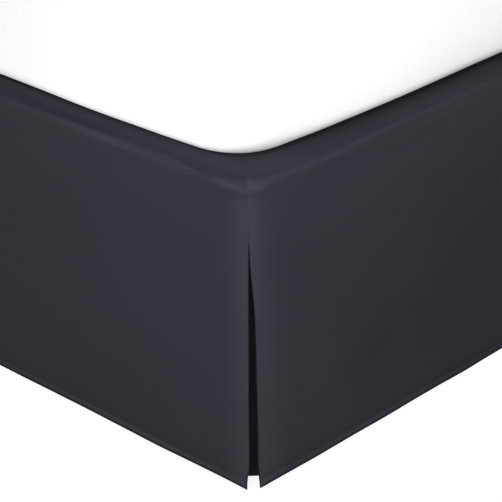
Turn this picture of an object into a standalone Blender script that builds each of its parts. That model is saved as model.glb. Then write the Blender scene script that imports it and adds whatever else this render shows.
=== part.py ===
"""Tailored bed skirt on a queen bed: box spring, mattress and steel frame.

Metres, +Z up, the foot of the bed towards -Y, the floor at z = 0.  The skirt has a deck that
lies on the box spring, a drop on each side and one across the foot, and a split at each foot
corner with a loose insert hanging behind it.
"""

import math

import bmesh
import bpy
import numpy as np

# Bed
MATTRESS_WIDTH = 1.524
BOX_SPRING_LENGTH = 2.032
BOX_SPRING_BOTTOM = 0.1783
BOX_SPRING_TOP = 0.3855
BOX_SPRING_CORNER = 0.076
BOX_SPRING_SHOULDER = 0.030
MATTRESS_HEIGHT = 0.250
MATTRESS_CORNER = 0.070
MATTRESS_LOWER_EDGE = 0.020
MATTRESS_UPPER_EDGE = 0.045
MATTRESS_FOOT_SETBACK = 0.0175

# Cloth
CLOTH = 0.0015
GAP = 0.0003
CLOTH_TO_BOX_SPRING = 0.0075
HEM_HEIGHT = 0.006
RETURN_WIDTH = 0.062
CREST_SIDE = 0.372
CREST_FOOT = 0.380
CREST_CORNER = 0.376
BAND_SIDE = 0.022
BAND_FOOT = 0.031
BAND_CORNER = 0.027
CORNER_BLEND = 0.120
BEND = 0.009
RECESS = 0.0010
RECESS_BELOW_CREST = 0.024
RECESS_REACH = 0.018
FLARE = 0.005
FLARE_HEIGHT = 0.034

# Corner split
SPLIT_TOP = 0.318
CORNER_RADIUS_TOP = 0.016
CORNER_RADIUS_HEM = 0.008
CORNER_RADIUS_UNDER = 0.003
SEAM_TURN = 0.22
SEAM_GAP = 0.0007
SPLIT_HALF_WIDTH = 0.0098
INSERT_BEHIND = 0.0023
INSERT_TOP = 0.360
INSERT_REACH = 0.130
INSERT_RADIUS_TOP = 0.052
INSERT_RADIUS_HEM = 0.067

# Steel frame
TUBE_WIDTH = 0.040
TUBE_HEIGHT = 0.025
SIDE_RAIL_INSET = 0.050
RAIL_END_INSET = 0.060
END_RAIL_INSET = 0.140
LEG_RADIUS = 0.017
LEG_END_INSET = 0.260
GLIDE_RADIUS = 0.024
GLIDE_HEIGHT = 0.012

# Worked out from the sizes above
HALF_WIDTH = MATTRESS_WIDTH / 2 + CLOTH_TO_BOX_SPRING
FOOT = -(BOX_SPRING_LENGTH + CLOTH_TO_BOX_SPRING) / 2
HEAD = -FOOT
DROP_LENGTH = HEAD - FOOT
FOOT_LENGTH = 2 * HALF_WIDTH
CLOTH_TOP = BOX_SPRING_TOP + GAP + CLOTH
MATTRESS_BOTTOM = CLOTH_TOP + GAP
RAIL_TOP = BOX_SPRING_BOTTOM - GAP
RAIL_BOTTOM = RAIL_TOP - TUBE_HEIGHT

# Rows up the drop, as shares of the height from hem to crest, and where the split ends
FACE_SHARES = (0.0, 0.012, 0.034, 0.068, 0.12, 0.21, 0.32, 0.44, 0.56, 0.67, 0.77, 0.864, 0.91, 0.955, 1.0)
SPLIT_SHARE = (SPLIT_TOP - HEM_HEIGHT) / (CREST_CORNER - BEND - HEM_HEIGHT)
BEND_SHARES = (0.3, 0.6, 1.0)
BAND_SHARES = (0.5, 1.0)
RETURN_SHARES = (0.35, 1.0)
ARC_COLUMNS = 7

# Slow unevenness of the drops: wave length along, depth at the hem, phase
SIDE_WAVES = ((0.74, 0.0011, 0.4), (0.43, 0.0008, 2.1), (0.29, 0.0004, 4.0))
FOOT_WAVES = ((0.66, 0.0012, 1.3), (0.38, 0.0007, 0.2), (0.25, 0.0004, 3.1))
FAR_SIDE_WAVES = ((0.81, 0.0012, 2.9), (0.47, 0.0008, 1.0), (0.31, 0.0004, 5.2))


def clear_scene():
    for item in list(bpy.data.objects):
        bpy.data.objects.remove(item, do_unlink=True)


def material(name, color, roughness, metallic=0.0):
    finish = bpy.data.materials.new(name)
    finish.use_nodes = True
    shader = finish.node_tree.nodes["Principled BSDF"]
    shader.inputs["Base Color"].default_value = (*color, 1.0)
    shader.inputs["Roughness"].default_value = roughness
    shader.inputs["Metallic"].default_value = metallic
    return finish


def new_object(name, body, finish, smooth_angle=None):
    """Put a bmesh into the scene as one named object."""
    mesh = bpy.data.meshes.new(name)
    body.to_mesh(mesh)
    body.free()
    item = bpy.data.objects.new(name, mesh)
    bpy.context.scene.collection.objects.link(item)
    mesh.materials.append(finish)
    if smooth_angle is not None:
        mesh.shade_smooth()
        mesh.set_sharp_from_angle(angle=math.radians(smooth_angle))
    return item


def ease(share):
    """Smooth step from 0 to 1."""
    share = np.clip(share, 0.0, 1.0)
    return share * share * (3.0 - 2.0 * share)


def hang(waves, along, length, drop_share):
    """Inward swing of a drop: slow sine waves, none at the crest or the ends, most at the hem."""
    fade = ease((along - 0.15) / 0.12) * ease((length - along) / 0.05)
    swing = sum(depth * np.sin(2 * math.pi * along / wave + phase) for wave, depth, phase in waves)
    return fade * swing * drop_share**0.7


def recess(z, crest):
    """Slight hollow just below the crest."""
    return RECESS * math.exp(-(((z - crest + RECESS_BELOW_CREST) / RECESS_REACH) ** 2))


def flare(z):
    """Outward kick of the hem, as a share of FLARE that grows over the last stretch."""
    return FLARE * max(0.0, 1.0 - (z - HEM_HEIGHT) / FLARE_HEIGHT) ** 2


def section_rows(crest, band):
    """Outer section of a drop, hem to deck seam, as (inset, height, corner radius, share)."""
    rows = []
    face_top = crest - BEND
    for share in FACE_SHARES:
        z = HEM_HEIGHT + share * (face_top - HEM_HEIGHT)
        radius = CORNER_RADIUS_HEM + share * (CORNER_RADIUS_TOP - CORNER_RADIUS_HEM)
        rows.append((recess(z, crest) - flare(z), z, radius, share))
    start_inset = rows[-1][0]
    slope = np.array([band, CLOTH_TOP - crest])
    slope = slope / np.linalg.norm(slope)
    first = np.array([start_inset, face_top])
    knee = np.array([0.0, crest])
    last = knee + BEND * slope
    for share in BEND_SHARES:
        point = (1 - share) ** 2 * first + 2 * share * (1 - share) * knee + share**2 * last
        rows.append((point[0], point[1], CORNER_RADIUS_TOP, 1.0))
    for share in BAND_SHARES:
        inset = last[0] + share * (band - last[0])
        z = last[1] + share * (CLOTH_TOP - last[1])
        rows.append((inset, z, CORNER_RADIUS_TOP, 1.0))
    for share in RETURN_SHARES:
        inset = band + share * (RETURN_WIDTH - band)
        rows.append((inset, CLOTH_TOP, CORNER_RADIUS_TOP, 1.0))
    return [(u, z, max(r - max(u, 0.0), CORNER_RADIUS_UNDER), s) for u, z, r, s in rows]


def row_at(index, along, crest_far, band_far):
    """One row of the section, blended from the shared corner section to the drop's own."""
    blend = float(ease(along / CORNER_BLEND))
    crest = CREST_CORNER + blend * (crest_far - CREST_CORNER)
    band = BAND_CORNER + blend * (band_far - BAND_CORNER)
    return section_rows(crest, band)[index]


def split_start(share, radius, early):
    """Path distance from the middle of the corner at which a drop's edge stands."""
    seam = radius * SEAM_TURN
    if share >= SPLIT_SHARE:
        return (seam if early > 0 else -seam) + SEAM_GAP / 2
    opening = 1.0 - share / SPLIT_SHARE
    if early > 0:
        return seam + SEAM_GAP / 2 + (SPLIT_HALF_WIDTH - seam) * opening**1.6
    return -seam + SEAM_GAP / 2 + (SPLIT_HALF_WIDTH + seam) * opening


def corner_point(inset, radius, path):
    """Inset from this drop's plane and distance from the other's, at a path distance."""
    quarter = radius * math.pi / 4
    if path < quarter:
        turn = math.pi / 4 - path / radius
        return inset + radius * (1 - math.cos(turn)), inset + radius * (1 - math.sin(turn))
    return inset, inset + radius + path - quarter


def corner_columns(index, crest_far, band_far, early):
    """The few columns of a row that go round the corner, as (inset, along, height)."""
    columns = []
    for column in range(ARC_COLUMNS):
        u, z, radius, share = row_at(index, 0.0, crest_far, band_far)
        start = split_start(share, radius, early)
        join = max(radius * math.pi / 4, start) + 0.004
        path = start + (join - start) * column / (ARC_COLUMNS - 1)
        inset, along = corner_point(u, radius, path)
        columns.append((inset, along, z))
    return columns


def straight_column(index, share, start, length, crest_far, band_far, waves, both_ends):
    """One column past the corner: the section's inset and height plus the drop's swing."""
    stop = length - start if both_ends else length
    along = start + share * (stop - start)
    nearest = min(along, length - along) if both_ends else along
    u, z, radius, face_share = row_at(index, nearest - start, crest_far, band_far)
    sway = hang(waves, along, length, 1.0 - face_share)
    return u + float(sway), along, z


def column_shares(both_ends):
    """Column places past the corner, close together where the section blends."""
    near = [0.010, 0.024, 0.042, 0.064]
    if both_ends:
        middle = list(np.linspace(0.10, 0.90, 13))
        return near + middle + [1 - share for share in reversed(near)]
    return near + list(np.linspace(0.10, 1.0, 18))


def drop_grid(length, crest_far, band_far, waves, early, both_ends):
    """Rows of (inset, along, height) for a whole drop."""
    grid = []
    for index in range(len(section_rows(CREST_CORNER, BAND_CORNER))):
        corner = corner_columns(index, crest_far, band_far, early)
        start = corner[-1][1]
        row = list(corner)
        for share in column_shares(both_ends):
            row.append(
                straight_column(index, share, start, length, crest_far, band_far, waves, both_ends)
            )
        if both_ends:
            row += [(inset, length - along, z) for inset, along, z in reversed(corner)]
        grid.append(row)
    return grid


def sheet(name, grid, place, finish, inside_out=False):
    """Make a grid of points a sheet and give it its thickness inwards."""
    body = bmesh.new()
    rows = [[body.verts.new(place(*point)) for point in row] for row in grid]
    for lower, upper in zip(rows, rows[1:]):
        for column in range(len(lower) - 1):
            corners = [lower[column], lower[column + 1], upper[column + 1], upper[column]]
            body.faces.new(corners if inside_out else corners[::-1])
    item = new_object(name, body, finish, smooth_angle=60)
    wall = item.modifiers.new("thickness", "SOLIDIFY")
    wall.thickness = CLOTH
    wall.offset = -1.0
    wall.use_even_offset = True
    return item


def on_left(inset, along, z):
    return (-HALF_WIDTH + inset, FOOT + along, z)


def on_right(inset, along, z):
    return (HALF_WIDTH - inset, FOOT + along, z)


def across_foot(inset, along, z):
    return (-HALF_WIDTH + along, FOOT + inset, z)


def make_drops(finish):
    """The two side drops and the foot drop; the foot drop wraps a little past each corner."""
    left = drop_grid(DROP_LENGTH, CREST_SIDE, BAND_SIDE, SIDE_WAVES, 1, False)
    sheet("drop_left", left, on_left, finish)
    right = drop_grid(DROP_LENGTH, CREST_SIDE, BAND_SIDE, FAR_SIDE_WAVES, 1, False)
    sheet("drop_right", right, on_right, finish, inside_out=True)
    foot = drop_grid(FOOT_LENGTH, CREST_FOOT, BAND_FOOT, FOOT_WAVES, -1, True)
    sheet("drop_foot", foot, across_foot, finish, inside_out=True)


def insert_grid():
    """Loose panel behind the split: straight, round the corner on a wide arc, straight."""
    grid = []
    for share in (0.0, 0.05, 0.14, 0.28, 0.45, 0.62, 0.80, 0.92, 1.0):
        z = HEM_HEIGHT + share * (INSERT_TOP - HEM_HEIGHT)
        inset = INSERT_BEHIND + recess(z, CREST_CORNER)
        radius = INSERT_RADIUS_HEM + share * (INSERT_RADIUS_TOP - INSERT_RADIUS_HEM)
        centre = inset + radius
        row = [(inset, centre + (INSERT_REACH - centre) * step, z) for step in (1.0, 0.5)]
        for turn in np.linspace(0.0, math.pi / 2, 9):
            row.append((centre - radius * math.cos(turn), centre - radius * math.sin(turn), z))
        row += [(centre + (INSERT_REACH - centre) * step, inset, z) for step in (0.5, 1.0)]
        grid.append(row)
    return grid


def make_inserts(finish):
    sheet("insert_left", insert_grid(), on_left, finish, inside_out=True)
    sheet("insert_right", insert_grid(), on_right, finish)


def prism(name, outline, low, high, finish):
    """Upright prism on a flat outline that runs anticlockwise seen from above."""
    body = bmesh.new()
    floor = [body.verts.new((x, y, low)) for x, y in outline]
    roof = [body.verts.new((x, y, high)) for x, y in outline]
    body.faces.new(floor[::-1])
    body.faces.new(roof)
    for here in range(len(outline)):
        after = (here + 1) % len(outline)
        body.faces.new((floor[here], floor[after], roof[after], roof[here]))
    return new_object(name, body, finish)


def make_deck(finish):
    """Flat deck between the returns of the drops, its foot corners cut to clear their mitres."""
    side = HALF_WIDTH - RETURN_WIDTH - GAP
    foot = FOOT + RETURN_WIDTH + GAP
    cut = 0.003
    outline = (
        (-side + cut, foot),
        (side - cut, foot),
        (side, foot + cut),
        (side, HEAD),
        (-side, HEAD),
        (-side, foot + cut),
    )
    prism("deck", outline, CLOTH_TOP - CLOTH, CLOTH_TOP, finish)


def rounded_outline(west, east, south, north, radius, steps=6):
    """Anticlockwise outline of a rectangle with round corners."""
    centres = ((west, south), (east, south), (east, north), (west, north))
    signs = ((1, 1), (-1, 1), (-1, -1), (1, -1))
    points = []
    for corner, (centre, sign) in enumerate(zip(centres, signs)):
        middle = (centre[0] + sign[0] * radius, centre[1] + sign[1] * radius)
        start = math.pi + corner * math.pi / 2
        for step in range(steps + 1):
            turn = start + step / steps * math.pi / 2
            points.append((middle[0] + radius * math.cos(turn), middle[1] + radius * math.sin(turn)))
    return points


def padded_block(name, west, east, south, north, corner, rings, finish):
    """Closed block from rings of (inset, height): rounded outline, flat top and bottom."""
    body = bmesh.new()
    loops = []
    for inset, z in rings:
        outline = rounded_outline(
            west + inset, east - inset, south + inset, north - inset, corner - inset
        )
        loops.append([body.verts.new((x, y, z)) for x, y in outline])
    count = len(loops[0])
    for lower, upper in zip(loops, loops[1:]):
        for here in range(count):
            after = (here + 1) % count
            body.faces.new((lower[here], lower[after], upper[after], upper[here]))
    body.faces.new(loops[0][::-1])
    body.faces.new(loops[-1])
    return new_object(name, body, finish, smooth_angle=40)


def edge_rings(low, high, lower_radius, upper_radius, steps=4):
    """Rings of (inset, height) for a block with a rounded lower and upper edge."""
    rings = []
    for step in range(steps + 1):
        turn = step / steps * math.pi / 2
        rings.append((lower_radius * (1 - math.sin(turn)), low + lower_radius * (1 - math.cos(turn))))
    for step in range(steps + 1):
        turn = step / steps * math.pi / 2
        rings.append((upper_radius * (1 - math.cos(turn)), high - upper_radius * (1 - math.sin(turn))))
    return rings


def make_bed(spring_finish, mattress_finish):
    half = MATTRESS_WIDTH / 2
    foot = FOOT + CLOTH_TO_BOX_SPRING
    rings = edge_rings(BOX_SPRING_BOTTOM, BOX_SPRING_TOP, 0.008, BOX_SPRING_SHOULDER)
    padded_block("box_spring", -half, half, foot, HEAD, BOX_SPRING_CORNER, rings, spring_finish)
    rings = edge_rings(
        MATTRESS_BOTTOM, MATTRESS_BOTTOM + MATTRESS_HEIGHT, MATTRESS_LOWER_EDGE, MATTRESS_UPPER_EDGE
    )
    south = foot + MATTRESS_FOOT_SETBACK
    padded_block("mattress", -half, half, south, HEAD, MATTRESS_CORNER, rings, mattress_finish)


def bar(name, west, east, south, north, finish):
    outline = ((west, south), (east, south), (east, north), (west, north))
    return prism(name, outline, RAIL_BOTTOM, RAIL_TOP, finish)


def round_post(name, x, y, low, high, radius, finish, sides=16):
    turns = [2 * math.pi * side / sides for side in range(sides)]
    outline = [(x + radius * math.cos(turn), y + radius * math.sin(turn)) for turn in turns]
    return prism(name, outline, low, high, finish)


def make_frame(steel, plastic):
    """Steel tube frame under the box spring, on legs with plastic glides."""
    outer = HALF_WIDTH - SIDE_RAIL_INSET
    inner = outer - TUBE_WIDTH
    half_tube = TUBE_WIDTH / 2
    south = FOOT + RAIL_END_INSET
    north = HEAD - RAIL_END_INSET
    bar("side_rail_left", -outer, -inner, south, north, steel)
    bar("side_rail_right", inner, outer, south, north, steel)
    low_end = FOOT + END_RAIL_INSET
    high_end = HEAD - END_RAIL_INSET
    between = inner - GAP
    bar("end_rail_foot", -between, between, low_end - half_tube, low_end + half_tube, steel)
    bar("end_rail_head", -between, between, high_end - half_tube, high_end + half_tube, steel)
    clear = half_tube + GAP
    bar("centre_rail", -half_tube, half_tube, low_end + clear, high_end - clear, steel)

    side_x = (outer + inner) / 2
    far_y = HEAD - LEG_END_INSET
    places = {
        "left_foot": (-side_x, -far_y),
        "left_middle": (-side_x, 0.0),
        "left_head": (-side_x, far_y),
        "right_foot": (side_x, -far_y),
        "right_middle": (side_x, 0.0),
        "right_head": (side_x, far_y),
        "centre": (0.0, 0.0),
    }
    for place, (x, y) in places.items():
        leg_low = GLIDE_HEIGHT + GAP
        round_post(f"leg_{place}", x, y, leg_low, RAIL_BOTTOM - GAP, LEG_RADIUS, steel)
        round_post(f"glide_{place}", x, y, 0.0, GLIDE_HEIGHT, GLIDE_RADIUS, plastic)


def main():
    clear_scene()
    charcoal = material("charcoal cloth", (0.037, 0.034, 0.044), 0.85)
    deck_cloth = material("deck cloth", (0.62, 0.61, 0.58), 0.9)
    ticking = material("box spring ticking", (0.72, 0.71, 0.68), 0.85)
    white_cloth = material("white mattress cover", (0.86, 0.86, 0.87), 0.8)
    steel = material("black frame paint", (0.03, 0.03, 0.032), 0.45)
    plastic = material("black glide plastic", (0.04, 0.04, 0.04), 0.5)
    make_drops(charcoal)
    make_inserts(charcoal)
    make_deck(deck_cloth)
    make_bed(ticking, white_cloth)
    make_frame(steel, plastic)


main()
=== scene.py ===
"""Tailored charcoal bed skirt on its bed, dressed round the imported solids.

Metres, +Z up, the foot of the bed towards -Y.  The drops, inserts and deck are thin sheets of
cloth worked out on grids; the mattress and box spring are lofted, padded bodies.
"""

import math

import bpy
import numpy as np
from bpy.props import FloatProperty, FloatVectorProperty, IntProperty, PointerProperty
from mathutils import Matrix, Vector


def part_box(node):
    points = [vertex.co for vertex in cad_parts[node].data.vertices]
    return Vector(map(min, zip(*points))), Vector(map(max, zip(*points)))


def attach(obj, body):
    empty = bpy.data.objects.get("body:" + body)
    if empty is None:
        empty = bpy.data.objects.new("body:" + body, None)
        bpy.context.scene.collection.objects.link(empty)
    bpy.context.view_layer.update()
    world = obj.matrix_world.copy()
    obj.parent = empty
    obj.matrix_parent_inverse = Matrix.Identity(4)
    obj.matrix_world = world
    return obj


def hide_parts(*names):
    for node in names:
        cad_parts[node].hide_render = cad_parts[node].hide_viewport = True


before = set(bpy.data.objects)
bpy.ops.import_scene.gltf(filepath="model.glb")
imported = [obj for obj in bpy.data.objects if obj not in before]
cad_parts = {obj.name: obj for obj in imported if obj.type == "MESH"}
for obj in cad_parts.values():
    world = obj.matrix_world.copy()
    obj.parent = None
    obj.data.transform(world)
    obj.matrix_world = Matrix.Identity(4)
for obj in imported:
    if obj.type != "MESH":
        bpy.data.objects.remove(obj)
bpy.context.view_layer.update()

bl_info = {
    "name": "Tailored bed skirt",
    "version": (1, 0, 0),
    "blender": (4, 5, 0),
    "location": "3D View > Sidebar > Bed Skirt",
    "description": "A tailored bed skirt with split corners on its bed, in a plain studio",
    "category": "Object",
}

SPRING_LOW, SPRING_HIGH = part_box("box_spring")
MATTRESS_LOW, MATTRESS_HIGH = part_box("mattress")
DECK_LOW, DECK_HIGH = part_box("deck")


def length(name, description, default):
    return FloatProperty(name=name, description=description, default=default, unit="LENGTH")


def tilt(name, description, degrees):
    default = math.radians(degrees)
    return FloatProperty(name=name, description=description, default=default, subtype="ANGLE")


def power(name, description, default):
    return FloatProperty(name=name, description=description, default=default, unit="POWER")


def colour(name, description, default):
    return FloatVectorProperty(
        name=name, description=description, default=default, subtype="COLOR", size=3, min=0, max=1
    )


class SkirtSizes(bpy.types.PropertyGroup):
    """Sizes of the cloth, as cut and as it hangs."""

    cloth: length("Cloth", "Thickness of the hemmed cloth", 0.0015)
    stand_off: length("Stand-off", "From the box spring's side to the drop's face", 0.0075)
    hem_height: length("Hem height", "Height of the hem above the floor", 0.0046)
    return_width: length("Return", "How far the drops reach in over the box spring", 0.062)
    crest_side: length("Side crest", "Height of the crest of the side drops", 0.3736)
    crest_foot: length("Foot crest", "Height of the crest of the foot drop", 0.3834)
    crest_corner: length("Corner crest", "Height of the crest at the corners", 0.3850)
    band_side: length("Side band", "Slope between crest and deck on the sides", 0.022)
    band_foot: length("Foot band", "Slope between crest and deck at the foot", 0.031)
    band_corner: length("Corner band", "Slope between crest and deck at the corners", 0.027)
    corner_blend: length("Corner blend", "Reach of the corner's high, round crest", 0.030)
    bend: length("Bend", "Reach of the soft bend at the crest", 0.0065)
    bend_corner: length("Corner bend", "Reach of the bend at the corners", 0.016)
    recess: length("Recess", "Depth of the hollow under the crest", 0.0010)
    recess_below: length("Recess below", "How far under the crest the hollow lies", 0.024)
    recess_reach: length("Recess reach", "Height over which the hollow fades", 0.018)
    lean: length("Lean", "Slow outward lean of the foot of the drops", 0.0014)
    lean_height: length("Lean height", "Height over which the drops lean out", 0.034)
    kick: length("Kick", "Outward kick of the stiff hem", 0.0032)
    hem_width: length("Hem", "Width of the turned hem", 0.009)
    radius_top: length("Corner radius", "Plan radius of the corner at the crest", 0.016)
    radius_hem: length("Hem corner radius", "Plan radius of the corner at the hem", 0.008)
    radius_under: length("Mitre radius", "Plan radius of the mitre under the mattress", 0.003)
    split_top: length("Split top", "Height at which the corner split opens", 0.318)
    split_width: length("Split width", "How far the foot drop draws back at the hem", 0.0150)
    split_flick: length("Split flick", "How far the side drop flicks out at the hem", 0.0026)
    seam_left: length("Seam place", "From the middle of the corner to its seam", 0.0042)
    seam_drift: length("Seam drift", "How far the seam drifts from the split to the mattress", 0.0018)
    bow: length("Bow", "How far the split edges curl inwards", 0.0022)
    bow_reach: length("Bow reach", "Distance from the edge over which they curl", 0.034)
    insert_behind: length("Insert depth", "From the drop's face to the insert's", 0.0023)
    insert_top: length("Insert top", "Height of the insert's upper edge", 0.360)
    insert_reach: length("Insert reach", "How far the insert runs past the corner", 0.130)
    insert_radius_top: length("Insert top radius", "Plan radius of the insert's top", 0.052)
    insert_radius_hem: length("Insert hem radius", "Plan radius of the insert's hem", 0.060)
    stitch_pitch: length("Stitch pitch", "Distance from stitch to stitch", 0.0032)
    thread: length("Thread", "Radius of the sewing thread", 0.00022)
    face_rows: IntProperty(name="Rows", description="Rows up a drop's middle", default=19, min=4)


class BedSizes(bpy.types.PropertyGroup):
    """Sizes of the mattress and the box spring beyond their boxes."""

    mattress_corner: length("Mattress corner", "Plan radius of the mattress", 0.078)
    mattress_lower: length("Lower edge", "Radius of the mattress's lower edge", 0.020)
    mattress_upper: length("Upper edge", "Radius of the mattress's upper edge", 0.045)
    spring_corner: length("Box spring corner", "Plan radius of the box spring", 0.076)
    spring_shoulder: length("Shoulder", "Radius of the box spring's upper edge", 0.030)
    piping: length("Piping", "Radius of the box spring's piping", 0.0035)


class Finishes(bpy.types.PropertyGroup):
    """Colours of the cloths, metal and plastic."""

    charcoal: colour("Charcoal", "Skirt cloth", (0.0208, 0.0180, 0.0268))
    thread: colour("Thread", "Sewing thread of the skirt", (0.020, 0.017, 0.025))
    deck: colour("Deck", "Deck cloth", (0.66, 0.65, 0.62))
    cover: colour("Cover", "Mattress cover", (0.84, 0.84, 0.86))
    ticking: colour("Ticking", "Box spring ticking", (0.74, 0.73, 0.70))
    steel: colour("Steel", "Powder coat of the bed frame", (0.022, 0.022, 0.024))
    plastic: colour("Plastic", "Glides under the legs", (0.035, 0.035, 0.036))
    floor: colour("Floor", "Studio floor", (0.22, 0.22, 0.22))


class StudioSizes(bpy.types.PropertyGroup):
    """Camera place from the near foot corner of the skirt, and the lights."""

    camera_left: length("Camera left", "Camera's distance out from the side drop", 1.499)
    camera_front: length("Camera front", "Camera's distance out from the foot drop", 1.398)
    camera_height: length("Camera height", "Camera's height above the floor", 1.307)
    camera_down: tilt("Pitch", "How far the camera looks down", 26.05)
    camera_turn: tilt("Heading", "Camera's heading from +Y towards +X", 46.95)
    lens: FloatProperty(
        name="Lens", description="Focal length in mm on a 36 mm sensor", default=153.0, unit="CAMERA"
    )
    key: power("Key", "Power of the key light", 8.5)
    left_pool: power("Left pool", "Power of the spot on the side drop", 118.0)
    corner_pool: power("Corner pool", "Power of the spot on the corner", 180.0)
    mattress_pool: power("Mattress pool", "Power of the spot on the mattress's foot", 185.0)
    sky: FloatProperty(name="Room", description="Brightness of the white room", default=0.35)
    horizon: FloatProperty(name="Horizon", description="Brightness added low in the room", default=0.65)
    ceiling: FloatProperty(name="Ceiling", description="Brightness added straight above", default=1.6)
    floor_glow: FloatProperty(name="Floor glow", description="Light given by the floor", default=0.89)
    floor_size: length("Floor", "Side of the studio floor", 60.0)


# Main creases of the drops: start and end as (along from the corner, height),
# then half width and depth.  A positive depth stands out of the cloth.
CREASES_SIDE = (
    ((0.010, 0.3725), (0.420, 0.3715), 0.0042, 0.0009),
    ((0.225, 0.3790), (0.420, 0.3800), 0.0022, -0.0007),
    ((0.070, 0.3760), (0.165, 0.3790), 0.0016, 0.0006),
    ((0.085, 0.3720), (0.180, 0.3745), 0.0014, -0.0005),
    ((0.060, 0.3690), (0.150, 0.3700), 0.0018, 0.0005),
    ((0.150, 0.3300), (0.400, 0.3150), 0.0130, 0.0011),
    ((0.190, 0.3050), (0.380, 0.2880), 0.0110, -0.0007),
    ((0.060, 0.3380), (0.200, 0.3480), 0.0090, -0.0006),
    ((0.120, 0.1250), (0.400, 0.1850), 0.0280, 0.0012),
    ((0.080, 0.0600), (0.380, 0.1150), 0.0260, -0.0014),
    ((0.035, 0.3200), (0.030, 0.0500), 0.0090, -0.0005),
    ((0.300, 0.0300), (0.420, 0.0650), 0.0160, 0.0008),
    ((0.015, 0.3840), (0.045, 0.3790), 0.0030, 0.0005),
    ((0.020, 0.3650), (0.060, 0.3600), 0.0050, -0.0006),
)
CREASES_FOOT = (
    ((0.012, 0.3770), (0.440, 0.3805), 0.0040, 0.0009),
    ((0.250, 0.3590), (0.420, 0.3640), 0.0060, -0.0012),
    ((0.140, 0.3650), (0.420, 0.3720), 0.0050, 0.0005),
    ((0.020, 0.3850), (0.085, 0.3830), 0.0026, 0.0005),
    ((0.035, 0.3810), (0.120, 0.3835), 0.0020, -0.0005),
    ((0.090, 0.3330), (0.330, 0.3440), 0.0120, 0.0010),
    ((0.120, 0.3080), (0.380, 0.3260), 0.0100, -0.0006),
    ((0.060, 0.1300), (0.330, 0.2250), 0.0300, 0.0012),
    ((0.100, 0.0800), (0.420, 0.2000), 0.0260, -0.0014),
    ((0.130, 0.0180), (0.215, 0.0200), 0.0100, 0.0009),
    ((0.040, 0.3300), (0.032, 0.0600), 0.0100, -0.0005),
    ((0.240, 0.0500), (0.420, 0.0950), 0.0180, 0.0008),
    ((0.018, 0.3640), (0.055, 0.3600), 0.0050, -0.0006),
)

# Further on, the same creases come again from these places along
CREASE_SHIFTS = (0.47, 0.93, 1.38)

# Slow swing of the drops: wave length along, depth at the hem, phase
WAVES_SIDE = ((0.74, 0.0011, 0.4), (0.43, 0.0008, 2.1), (0.29, 0.0004, 4.0))
WAVES_FOOT = ((0.66, 0.0012, 1.3), (0.38, 0.0007, 0.2), (0.25, 0.0004, 3.1))
WAVES_FAR = ((0.81, 0.0012, 2.9), (0.47, 0.0008, 1.0), (0.31, 0.0004, 5.2))

# Swings of the hem near the foot corners: place along, reach and depth outwards
HEM_SIDE = ((0.150, 0.045, 0.0012), (0.290, 0.050, -0.0005), (0.045, 0.022, -0.0003))
HEM_FOOT = ((0.110, 0.070, 0.0013), (0.232, 0.058, 0.0012), (0.375, 0.050, 0.0014))

# Bulges of the mattress's sides: place from the near foot corner, reach and depth outwards
BULGES_SIDE = ((0.265, 0.082, 0.0048), (0.075, 0.040, -0.0050), (0.100, 0.032, -0.0020))
BULGES_FOOT = ((0.275, 0.115, 0.0046), (0.080, 0.042, -0.0050), (0.068, 0.028, -0.0018))

# Small unevenness of all the skirt cloth: wave length, depth, direction in half turns, phase
RIPPLES = (
    (0.092, 0.00016, 0.04, 0.3),
    (0.061, 0.00011, 0.21, 1.9),
    (0.047, 0.00008, 0.46, 4.4),
    (0.128, 0.00020, 0.36, 2.7),
)

# Unevenness of the crest: place along from the corner, reach, lift, and added painted highlight
CREST_SIDE = (
    (0.005, 0.030, 0.0, 0.45),
    (0.095, 0.030, -0.0008, -0.50),
    (0.165, 0.036, 0.0014, 0.10),
    (0.205, 0.060, 0.0007, 0.35),
    (0.260, 0.016, -0.0012, 0.10),
    (0.350, 0.030, -0.0006, -0.10),
)
CREST_FOOT = (
    (0.005, 0.030, 0.0, 0.45),
    (0.050, 0.016, 0.0, -0.30),
    (0.100, 0.042, -0.0042, 0.10),
    (0.160, 0.030, -0.0004, 0.15),
    (0.188, 0.032, -0.0020, 0.0),
    (0.360, 0.060, 0.0004, -0.20),
)

# Painted light and shade over the cloth: place (along, height), reach (along, up), lighter or darker
PAINTED_LIGHT_PATCHES_SIDE = (
    ((0.28, 0.345), (0.26, 0.045), 0.24),
    ((0.24, 0.060), (0.16, 0.065), -0.12),
)
PAINTED_LIGHT_PATCHES_FOOT = (
    ((0.055, 0.375), (0.040, 0.030), 0.36),
    ((0.150, 0.330), (0.130, 0.035), 0.24),
    ((0.360, 0.360), (0.090, 0.035), 0.30),
    ((0.205, 0.120), (0.060, 0.070), -0.18),
    ((0.400, 0.130), (0.140, 0.120), -0.30),
)
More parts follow.
